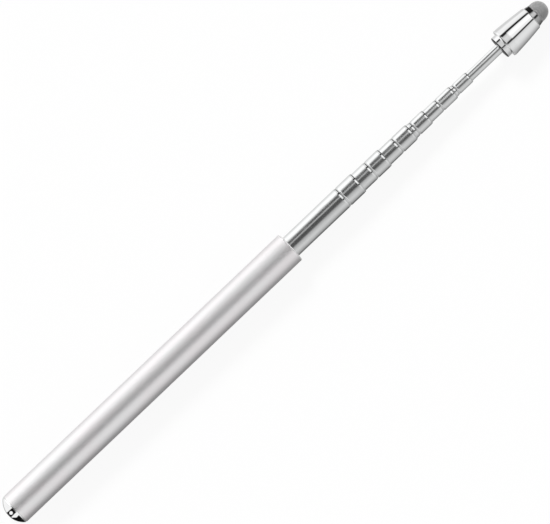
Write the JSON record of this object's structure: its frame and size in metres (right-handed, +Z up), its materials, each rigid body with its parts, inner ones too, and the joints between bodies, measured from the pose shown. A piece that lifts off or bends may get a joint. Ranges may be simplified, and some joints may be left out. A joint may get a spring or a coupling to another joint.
{
  "type": "telescopic pointer",
  "caption": "Telescopic pointer: a round satin handle, polished tubes that slide and spin inside each other, and a bell-shaped head with a soft rounded knitted tip.",
  "frame": {"origin": "on the surface that the pointer lies on, under the middle of the handle tube, on the flat side that the handle tube rests on", "axes": "+X along the pointer from the handle towards the soft tip, +Z up"},
  "size_m": [0.2588, 0.012, 0.0119],
  "materials": {
    "handle_satin": "satin pearl-silver plating",
    "tube_steel": "polished steel",
    "chrome_plate": "bright mirror plating",
    "bush_brass": "turned brass",
    "spring_bronze": "rolled phosphor bronze strip",
    "bush_nylon": "moulded nylon",
    "tip_fabric": "fine grey knitted conductive fibre",
    "tip_rubber": "soft rubber"
  },
  "bodies": {
    "handle": {"handle_tube": "handle_satin", "mouth_bush": "bush_nylon", "tail_cap": "chrome_plate"},
    "spring_1": {"friction_spring_1": "spring_bronze"},
    "section_1": {"tube_1": "tube_steel", "end_bush_1": "bush_brass"},
    "spring_2": {"friction_spring_2": "spring_bronze"},
    "section_2": {"tube_2": "tube_steel", "end_bush_2": "bush_brass"},
    "spring_3": {"friction_spring_3": "spring_bronze"},
    "section_3": {"tube_3": "tube_steel", "end_bush_3": "bush_brass"},
    "spring_4": {"friction_spring_4": "spring_bronze"},
    "section_4": {"tube_4": "tube_steel", "end_bush_4": "bush_brass"},
    "spring_5": {"friction_spring_5": "spring_bronze"},
    "section_5": {"tube_5": "tube_steel", "end_bush_5": "bush_brass"},
    "spring_6": {"friction_spring_6": "spring_bronze"},
    "section_6": {"tube_6": "tube_steel", "end_bush_6": "bush_brass"},
    "spring_7": {"friction_spring_7": "spring_bronze"},
    "tip_section": {"tip_tube": "tube_steel", "end_bush_7": "bush_brass", "head_neck": "chrome_plate", "head_shell": "chrome_plate", "tip_ferrule": "chrome_plate", "tip_core": "tip_rubber", "tip_knit": "tip_fabric"}
  },
  "joints": [
    {"name": "slide_1", "type": "slide", "parent": "handle", "child": "spring_1", "axis": [1, 0, 0], "range_m": [-0.03485, 0.07685]},
    {"name": "spin_1", "type": "hinge", "parent": "spring_1", "child": "section_1", "pos_m": [0, 0, 0.00597], "axis": [1, 0, 0], "continuous": true},
    {"name": "slide_2", "type": "slide", "parent": "section_1", "child": "spring_2", "axis": [1, 0, 0], "range_m": [-0.0127, 0.09662]},
    {"name": "spin_2", "type": "hinge", "parent": "spring_2", "child": "section_2", "pos_m": [0, 0, 0.00597], "axis": [1, 0, 0], "continuous": true},
    {"name": "slide_3", "type": "slide", "parent": "section_2", "child": "spring_3", "axis": [1, 0, 0], "range_m": [-0.0129, 0.09322]},
    {"name": "spin_3", "type": "hinge", "parent": "spring_3", "child": "section_3", "pos_m": [0, 0, 0.00597], "axis": [1, 0, 0], "continuous": true},
    {"name": "slide_4", "type": "slide", "parent": "section_3", "child": "spring_4", "axis": [1, 0, 0], "range_m": [-0.0077, 0.09452]},
    {"name": "spin_4", "type": "hinge", "parent": "spring_4", "child": "section_4", "pos_m": [0, 0, 0.00597], "axis": [1, 0, 0], "continuous": true},
    {"name": "slide_5", "type": "slide", "parent": "section_4", "child": "spring_5", "axis": [1, 0, 0], "range_m": [-0.0125, 0.08672]},
    {"name": "spin_5", "type": "hinge", "parent": "spring_5", "child": "section_5", "pos_m": [0, 0, 0.00597], "axis": [1, 0, 0], "continuous": true},
    {"name": "slide_6", "type": "slide", "parent": "section_5", "child": "spring_6", "axis": [1, 0, 0], "range_m": [-0.0077, 0.08712]},
    {"name": "spin_6", "type": "hinge", "parent": "spring_6", "child": "section_6", "pos_m": [0, 0, 0.00597], "axis": [1, 0, 0], "continuous": true},
    {"name": "slide_7", "type": "slide", "parent": "section_6", "child": "spring_7", "axis": [1, 0, 0], "range_m": [-0.0145, 0.07682]},
    {"name": "spin_7", "type": "hinge", "parent": "spring_7", "child": "tip_section", "pos_m": [0, 0, 0.00597], "axis": [1, 0, 0], "continuous": true}
  ]
}
